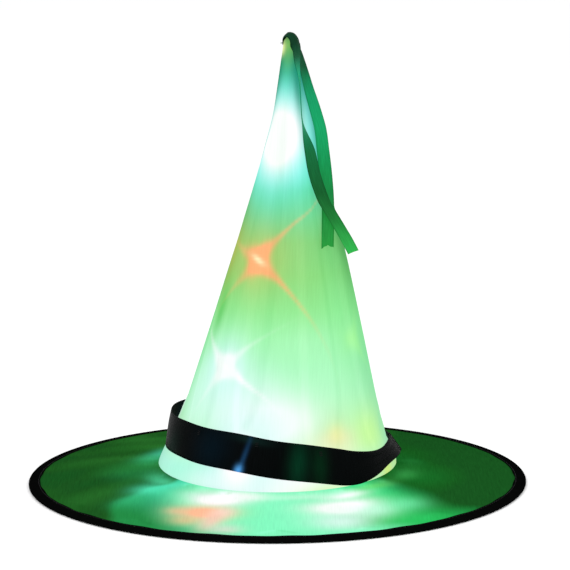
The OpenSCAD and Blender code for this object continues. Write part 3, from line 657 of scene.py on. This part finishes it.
def band_piece():
    """The band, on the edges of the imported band."""
    co = points_of("hat_band")
    ang = np.arctan2(co[:, 1], co[:, 0] - np.interp(co[:, 2], ring_z, ring_x)) % TAU
    dist = np.hypot(co[:, 1], co[:, 0] - np.interp(co[:, 2], ring_z, ring_x))
    samples = 96
    low = np.zeros((samples, 2))
    high = np.zeros((samples, 2))
    for k in range(samples):
        near = abs(turn(ang, TAU * k / samples)) < 0.02
        zs, rs = co[near, 2], dist[near]
        edge = zs < zs.min() + 0.05
        low[k] = zs.min(), rs[edge].max()
        edge = zs > zs.max() - 0.05
        high[k] = zs.max(), rs[edge].max()
    cols, rows = 480, 15
    at = np.arange(cols) * samples / cols
    low = cubic(low[None], np.array([0.0]), at)[0]
    high = cubic(high[None], np.array([0.0]), at)[0]
    a = np.arange(cols) * TAU / cols
    s = np.linspace(0, 1, rows)
    A, S = np.meshgrid(a, s)
    Z = low[:, 0] + (high[:, 0] - low[:, 0]) * S
    R = low[:, 1] + (high[:, 1] - low[:, 1]) * S
    width = (high[:, 0] - low[:, 0])[None]
    tight = 1 - smooth((width - 14) / 10)
    # Pleats where the thread draws the ribbon in, fading out along it
    clear = smooth((abs(turn(A, 0)) - 0.02) / 0.12)
    pleat = (np.cos(2.5 * TAU * S + 0.8 * np.sin(3 * A)) + 0.6) * tight
    R = R + 0.45 * pleat * clear - 0.2
    soft = (1 - tight) * np.sin(math.pi * S) * clear
    R = R + soft * (0.45 * np.sin(6 * A + 2 * S) + 0.3 * np.sin(11 * A + 1)) + 0.25 * soft
    Z = Z + 0.3 * (1 - tight) * clear * np.sin(9 * A + 0.5)
    face = np.stack([np.interp(Z, ring_z, ring_x) + R * np.cos(A), R * np.sin(A), Z], -1)
    inner = face - normals_of(face) * BAND_T
    lit = np.zeros(face.shape)
    for at_deg, at_s, wide, tall, slope, colour in BAND_LIGHT_SPOTS:
        u = turn(A, math.radians(at_deg)) * R / wide - slope * (S - at_s)
        v = (S - at_s) / tall
        lit += np.exp(-u**2 - v**2)[..., None] * np.array(colour)
    length = np.append(a, TAU) * BAND_GIRTH_R
    flat = np.stack(np.broadcast_arrays(length[None, :], (s * BAND_WIDTH)[:, None]), -1)
    obj = shell("hat_band_visual", face, inner, flat, lit)
    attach(obj, "hat")
    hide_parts("hat_band")
    return obj


# ------------------------ ribbon
# Stops of the long and the short tail, from the middle of the tip: place, and the angle of the ribbon's width
LONG_STOPS = [[4.44, -3.73, -9.5, 50], [8.4, -2.6, -21.5, 56], [10.9, -2.2, -31, 52], [13.9, -3.2, -42, 46],
              [18.6, -5, -57, 32], [22.3, -7, -71, 24], [24.1, -10, -86, 20], [25.7, -13, -101, 18],
              [26.9, -17.5, -115, 17], [27.4, -21.5, -126, 19], [27.2, -25.8, -140, 23],
              [26.8, -31.5, -157, 27]]
SHORT_STOPS = [[5, -4.2, -9.5, 50], [5.2, -9.6, -20, 66], [6.4, -12.4, -30, 80], [7.4, -15.2, -48, 92],
               [8.9, -18.3, -66, 85], [14, -16.5, -85, 38], [17.6, -19.5, -103, 30],
               [23.6, -23.3, -121, 26], [28.6, -24.8, -130, 25], [34.5, -25, -140, 24],
               [41, -23, -151.5, 24], [47, -19, -163.5, 25]]
TIP_X = ring_x[-1]
FOLD_TURN = math.radians(-40)
fold_points = points_of("ribbon_tip_fold") - [TIP_X, 0, 0]
fold_out = fold_points[:, 0] * math.cos(FOLD_TURN) + fold_points[:, 1] * math.sin(FOLD_TURN)
fold_side = fold_points[:, 1] * math.cos(FOLD_TURN) - fold_points[:, 0] * math.sin(FOLD_TURN)
RIBBON_W = fold_side.max() - fold_side.min()
FOLD_R = fold_out.max() - 0.2
FOLD_Z = fold_points[:, 2].max() - FOLD_R - 0.2
RIBBON_WRAP = 2.6                    # how far the ribbon's edges bend in round the tip
RIBBON_BASE = np.array([0.004, 0.035, 0.014])
# The light along each ribbon: share of its length, colour
LONG_LIGHT = [(0, (12, 40, 30)), (0.1, (14, 46, 32)), (0.23, (18, 80, 50)), (0.29, (24, 130, 84)),
              (0.36, (27, 160, 104)), (0.5, (29, 176, 108)), (0.68, (28, 146, 78)), (0.82, (34, 128, 62)),
              (1, (44, 152, 62))]
SHORT_LIGHT = [(0, (12, 40, 30)), (0.06, (14, 52, 36)), (0.13, (18, 84, 54)), (0.2, (22, 160, 116)),
               (0.4, (24, 140, 96)), (0.535, (26, 112, 64)), (0.7, (24, 92, 44)), (0.82, (34, 118, 52)),
               (0.94, (52, 168, 76)), (1, (52, 184, 80))]


def curve_through(stops, per):
    """A smooth curve through stops, with per points from each stop to the next."""
    stops = np.array(stops, float)
    out = []
    for i in range(len(stops) - 1):
        p0, p1 = stops[max(i - 1, 0)], stops[i]
        p2, p3 = stops[i + 1], stops[min(i + 2, len(stops) - 1)]
        for t in np.arange(per) / per:
            out.append(0.5 * (2 * p1 + (p2 - p0) * t + (2 * p0 - 5 * p1 + 4 * p2 - p3) * t**2
                              + (3 * p1 - p0 - 3 * p2 + p3) * t**3))
    out.append(stops[-1])
    return np.array(out)


def ribbon_light(keys, s, u):
    """Light along a ribbon, with its two woven edges a little darker."""
    edge = 1 - 0.3 * smooth((abs(u) - 0.75) / 0.2)
    uneven = 0.95 + 0.08 * np.sin(9 * s)
    return np.maximum(ramp(s, keys) * edge[..., None] * uneven[..., None] - RIBBON_BASE, 0)


def notch(u):
    """How far the long tail's end is trimmed: a cut V with a rough edge."""
    return 2.2 * (1 - abs(u)) + 0.3 * np.sin(9 * u)


def slant(u):
    """How far the short tail's end is trimmed: a straight slanted cut."""
    return 3.0 * (u + 1) / 2


def ribbon_strip(name, path, cut, keys, eased):
    """A ribbon along stops of place and width angle. cut(u) is how far its end is trimmed. Its edges bend
    round the crown's tip at the start, and ease off from eased along it."""
    cols = 11
    mid = path[:, :3]
    ang = np.radians(path[:, 3])
    wide = np.stack([np.cos(ang), np.sin(ang), 0 * ang], -1)
    along = np.gradient(mid, axis=0)
    along /= np.linalg.norm(along, axis=1, keepdims=True)
    n = np.cross(along, wide)
    n /= np.linalg.norm(n, axis=1, keepdims=True)
    u = np.linspace(-1, 1, cols)
    run = np.concatenate([[0], np.cumsum(np.linalg.norm(np.diff(mid, axis=0), axis=1))])
    total = run[-1]
    ripple = 0.25 * np.sin(run / 9 + 1) * smooth((run - 35) / 30)
    cup = (0.35 + 0.25 * np.sin(run / 21)) * smooth((run - 30) / 20)
    hug = RIBBON_WRAP * (1 - smooth((run - eased) / 16))
    across = (1 - 0.02 * hug[:, None]) * (u * RIBBON_W / 2)[None]
    raised = (cup - hug)[:, None] * (u**2)[None] + ripple[:, None] * u[None]
    grid = mid[:, None] + wide[:, None] * across[..., None] + n[:, None] * raised[..., None]
    back = smooth((run - total + 10) / 10)
    grid = grid - along[:, None] * (back[:, None] * cut(u)[None])[..., None]
    normal = normals_of(grid, wraps=False)
    half = RIBBON_T / 2
    flat = np.stack(np.broadcast_arrays((u * RIBBON_W / 2)[None, :], run[:, None]), -1)
    share = run / total
    glow = ribbon_light(keys, share[:, None] + 0 * u[None], u[None] + 0 * share[:, None])
    return shell(name, grid + normal * half, grid - normal * half, flat, glow, wraps=False)


def ribbon_pieces():
    """The two ribbons that lie over the tip, one on the other, and end in the tails."""
    face_angle = 90 + math.degrees(FOLD_TURN)

    def leg(out, z):
        """A stop on the fold, out from the middle of the tip and up from the fold's centre."""
        return [TIP_X + out * math.cos(FOLD_TURN), out * math.sin(FOLD_TURN), FOLD_Z + z, face_angle]

    def arc(r, degrees):
        return [leg(r * math.cos(q), r * math.sin(q)) for q in np.radians(degrees)]

    def path(start, out, stops):
        """The start, then a smooth tail that leaves the fold at out."""
        tail = [[x + TIP_X, y, z + TIP, angle] for x, y, z, angle in stops]
        return np.concatenate([np.array(start), curve_through([leg(out, -2)] + tail, per=7)])

    arch = [leg(-FOLD_R, z) for z in np.linspace(-3, -0.2, 4)]
    arch += arc(FOLD_R, np.linspace(180, 0, 15)) + [leg(FOLD_R, -1.5)]
    over_r = FOLD_R + 0.5            # the short ribbon is a second layer
    over = arc(over_r, np.linspace(104, 0, 9)) + [leg(over_r, -1.5)]
    long_path, short_path = path(arch, FOLD_R, LONG_STOPS), path(over, FOLD_R + 0.55, SHORT_STOPS)
    outer = ribbon_strip("ribbon_long_visual", long_path, notch, LONG_LIGHT, eased=16)
    inner = ribbon_strip("ribbon_short_visual", short_path, slant, SHORT_LIGHT, eased=5)
    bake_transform(outer)
    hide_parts("ribbon_tip_fold", "ribbon_tail_left")
    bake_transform(inner)
    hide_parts("ribbon_tail_right")
    return outer, inner


# ------------------------ materials
def new_material(name):
    m = bpy.data.materials.new(name)
    m.use_nodes = True
    nt = m.node_tree
    return m, nt, nt.nodes["Principled BSDF"]


def add(nt, kind, inputs=None, **settings):
    """A new node with its settings and the values of its inputs."""
    node = nt.nodes.new(kind)
    for key, value in settings.items():
        setattr(node, key, value)
    return give(node, inputs or {})


def give(node, inputs):
    """Sets a node's inputs: a socket is linked and anything else is a value."""
    for key, value in inputs.items():
        if isinstance(value, bpy.types.NodeSocket):
            node.id_data.links.new(value, node.inputs[key])
        else:
            node.inputs[key].default_value = value
    return node


def math_node(nt, op, a, b):
    return add(nt, "ShaderNodeMath", {0: a, 1: b}, operation=op).outputs[0]


def noise_node(nt, place, scale, detail=2.0):
    return add(nt, "ShaderNodeTexNoise", {"Vector": place, "Scale": scale, "Detail": detail}).outputs["Fac"]


def weave_nodes(nt, pitch, slub):
    """Height of a plain weave on the Cloth map, which is in millimetres, and slubs along both threads."""
    uv = add(nt, "ShaderNodeUVMap", uv_map="Cloth").outputs["UV"]
    waves, streaks = [], []
    for turned in (0, math.pi / 2):
        place = add(nt, "ShaderNodeMapping", {"Vector": uv, "Rotation": (0, 0, turned)})
        wave = add(nt, "ShaderNodeTexWave", {"Vector": place.outputs[0], "Scale": 1 / pitch / 3.2,
                                             "Distortion": 0.4}, wave_type="BANDS", bands_direction="X")
        waves.append(wave.outputs["Color"])
        streak = add(nt, "ShaderNodeMapping", {"Vector": uv, "Rotation": (0, 0, turned),
                                               "Scale": (slub, slub * 0.06, 1)})
        streaks.append(noise_node(nt, streak.outputs[0], 1.0, 3))
    return math_node(nt, "MULTIPLY", *waves), math_node(nt, "ADD", *streaks)


def tinted(nt, colour, factor, low, high):
    """colour times a value that runs from low to high with factor."""
    scale = add(nt, "ShaderNodeMapRange", {"Value": factor, "From Min": 0.7, "From Max": 1.3,
                                           "To Min": low, "To Max": high})
    mix = add(nt, "ShaderNodeVectorMath", {0: colour, "Scale": scale.outputs[0]}, operation="SCALE")
    return mix.outputs[0]


def bumped(nt, height, strength, distance):
    bump = add(nt, "ShaderNodeBump", {"Height": height, "Strength": strength, "Distance": distance})
    return bump.outputs[0]


def cloth_material(name, base, pitch=0.5, slub=0.9, rough=0.75, spread=(0.9, 1.1), bump=0.25, glow=None,
                   specular=0.3):
    """Woven cloth. glow is the spread of the light painted on it as the glow attribute."""
    m, nt, bsdf = new_material(name)
    weave, slubs = weave_nodes(nt, pitch, slub)
    height = math_node(nt, "ADD", math_node(nt, "MULTIPLY", weave, 0.5), slubs)
    give(bsdf, {"Base Color": tinted(nt, base, slubs, *spread), "Normal": bumped(nt, height, bump, 0.0002),
                "Roughness": rough, "Specular IOR Level": specular})
    if glow:
        light = add(nt, "ShaderNodeAttribute", attribute_name="glow").outputs["Color"]
        give(bsdf, {"Emission Color": tinted(nt, light, slubs, *glow), "Emission Strength": 1.0})
    return m


def hard_material(name, base, rough=0.4, metal=0.0, grain=400.0, mark=0.12, bump=0.1, glow=None, coat=0.0,
                  specular=0.5):
    """Plastic, rubber, metal or thread with fine grain, faint handling marks and uneven gloss."""
    m, nt, bsdf = new_material(name)
    place = add(nt, "ShaderNodeTexCoord").outputs["Object"]
    fine = noise_node(nt, place, grain, 4)
    broad = noise_node(nt, place, grain / 9)
    both = math_node(nt, "ADD", fine, broad)
    gloss = add(nt, "ShaderNodeMapRange", {"Value": broad, "To Min": max(rough - 0.1, 0.02),
                                           "To Max": min(rough + 0.15, 1)})
    give(bsdf, {"Base Color": tinted(nt, base, both, 1 - mark, 1 + mark), "Roughness": gloss.outputs[0],
                "Normal": bumped(nt, fine, bump, 0.0001), "Metallic": metal, "Coat Weight": coat,
                "Specular IOR Level": specular})
    if glow:
        give(bsdf, {"Emission Color": tinted(nt, glow, both, 0.92, 1.08), "Emission Strength": 1.0})
    return m


def dress(obj, material):
    obj.data.materials.clear()
    obj.data.materials.append(material)


# ------------------------ build
crown = crown_piece()
brim = brim_piece()
binding, binding_thread = binding_pieces()
band = band_piece()
ribbon_long, ribbon_short = ribbon_pieces()

dress(crown, cloth_material("crown_cloth", tuple(CROWN_BASE), pitch=0.45, rough=0.85, glow=(0.98, 1.02),
                            bump=0.2, specular=0.01))
dress(brim, cloth_material("brim_cloth", tuple(BRIM_BASE), pitch=0.45, rough=0.85, glow=(0.96, 1.04),
                           spread=(0.85, 1.15), specular=0.0))
dress(binding, cloth_material("black_tape", (0.0018, 0.0019, 0.0019), pitch=0.7, slub=1.6, rough=0.95,
                              spread=(0.6, 1.5), specular=0.0))
dress(binding_thread, hard_material("black_thread", (0.006, 0.006, 0.007), rough=0.6, grain=1500, bump=0.4,
                                    specular=0.1))
dress(band, cloth_material("black_satin", (0.0008, 0.0013, 0.0014), pitch=0.35, slub=1.2, rough=0.42,
                           spread=(0.7, 1.4), glow=(0.9, 1.1), specular=0.012))
green_satin = cloth_material("green_satin", tuple(RIBBON_BASE), pitch=0.3, slub=1.4, rough=0.45,
                             spread=(0.8, 1.2), glow=(0.84, 1.16), specular=0.03)
dress(ribbon_long, green_satin)
dress(ribbon_short, green_satin)

steel = hard_material("bright_steel", (0.60, 0.60, 0.62), rough=0.28, metal=1.0, grain=600)
brass = hard_material("plated_brass", (0.78, 0.60, 0.28), rough=0.3, metal=1.0, grain=600)
case = hard_material("case_plastic", (0.74, 0.76, 0.74), rough=0.45, grain=900, mark=0.05)
thread_dark = hard_material("dark_thread", (0.004, 0.004, 0.0045), rough=0.7, grain=1500, bump=0.5,
                            specular=0.1)
thread_green = hard_material("green_thread", (0.02, 0.16, 0.06), rough=0.7, grain=1500, bump=0.5)
thread_pale = hard_material("pale_thread", (0.60, 0.78, 0.62), rough=0.7, grain=1500, bump=0.5)
cover = hard_material("lead_cover", (0.015, 0.10, 0.04), rough=0.45, grain=500)
tape = hard_material("head_tape_cloth", (0.012, 0.012, 0.014), rough=0.85, grain=1800, bump=0.8, mark=0.3)
LOOKS = {
    "brim_hoop": steel, "hoop_ferrule": steel, "lamp_legs": steel, "lid_screw": steel,
    "coin_cell_lower": steel, "coin_cell_upper": steel, "contact_spring": brass, "contact_leaf": brass,
    "case_tray": case, "case_lid": case, "head_tape": tape, "band_gather_thread": thread_dark,
    "band_tacks": thread_dark, "ribbon_tack": thread_green, "lead_tacks": thread_pale,
    "lamp_lead": cover, "lamp_sleeves": cover,
    "loop_patch": hard_material("loop_cloth", (0.50, 0.66, 0.52), rough=0.95, grain=2500, bump=1.0,
                                mark=0.25),
    "hook_patch": hard_material("hook_tape", (0.66, 0.68, 0.66), rough=0.8, grain=2500, bump=1.0, mark=0.2),
    "switch_housing": hard_material("switch_plastic", (0.05, 0.05, 0.055), rough=0.5, grain=900),
    "switch_slider": hard_material("knob_plastic", (0.012, 0.012, 0.012), rough=0.5, grain=900),
    "resistor": hard_material("resistor_body", (0.52, 0.36, 0.20), rough=0.5, grain=700, mark=0.3),
    "lead_grommet": hard_material("grommet_rubber", (0.012, 0.012, 0.012), rough=0.8, grain=900),
}
for kind, shine in LAMP_COLOURS.items():
    LOOKS["lamps_" + kind] = hard_material("lamp_" + kind, shine, rough=0.15, grain=300, mark=0.05,
                                           glow=shine, coat=0.6)
for node, look in LOOKS.items():
    dress(NODES[node], look)


# ------------------------ floor, light and camera
FLOOR_HALF, FLOOR_Z = 15.0, -0.0004  # metres, as are all lengths from here on
quarters = [(-1, -1), (1, -1), (1, 1), (-1, 1)]
corners = np.array([(x * FLOOR_HALF, y * FLOOR_HALF, FLOOR_Z) for x, y in quarters])
floor = make("floor", corners / MM, [[0, 1, 2, 3]], shade_smooth=False)
floor_look, _, floor_bsdf = new_material("pale_floor")
give(floor_bsdf, {"Base Color": (0.96, 0.96, 0.96, 1), "Roughness": 0.9, "Specular IOR Level": 0.0})
dress(floor, floor_look)

world = bpy.data.worlds.new("studio")
bpy.context.scene.world = world
world.use_nodes = True
give(world.node_tree.nodes["Background"], {"Color": (1, 1, 1, 1), "Strength": 1.03})


def softbox(name, place, aim, size, power):
    """A square soft light at a place, turned to its aim."""
    light = bpy.data.lights.new(name, "AREA")
    light.shape = "SQUARE"
    light.size = size
    light.energy = power
    obj = bpy.data.objects.new(name, light)
    bpy.context.scene.collection.objects.link(obj)
    obj.location = place
    obj.rotation_euler = (Vector(aim) - Vector(place)).to_track_quat("-Z", "Y").to_euler()


softbox("key", (-1.2, -1.6, 1.8), (0, 0, 0.1), 1.2, 14)
softbox("fill", (1.6, -1.0, 1.4), (0, 0, 0.1), 1.2, 8)

DISTANCE, ELEVATION = 2.5, math.radians(13.75)          # the camera, from the middle of the brim
AIM_YAW, AIM_PITCH, ROLL = math.radians(-0.156), math.radians(3.418), math.radians(0.318)
camera_data = bpy.data.cameras.new("camera")
camera = bpy.data.objects.new("camera", camera_data)
bpy.context.scene.collection.objects.link(camera)
camera_data.sensor_width = 36
camera_data.lens = 206.0
camera_data.clip_end = 100
stand = Matrix.Translation((0, -DISTANCE * math.cos(ELEVATION), DISTANCE * math.sin(ELEVATION)))
yaw = Matrix.Rotation(AIM_YAW, 4, "Z")
pitch = Matrix.Rotation(math.pi / 2 - ELEVATION + AIM_PITCH, 4, "X")
camera.matrix_world = stand @ yaw @ pitch @ Matrix.Rotation(-ROLL, 4, "Z")
bpy.context.scene.camera = camera
bpy.context.scene.view_settings.view_transform = "Standard"
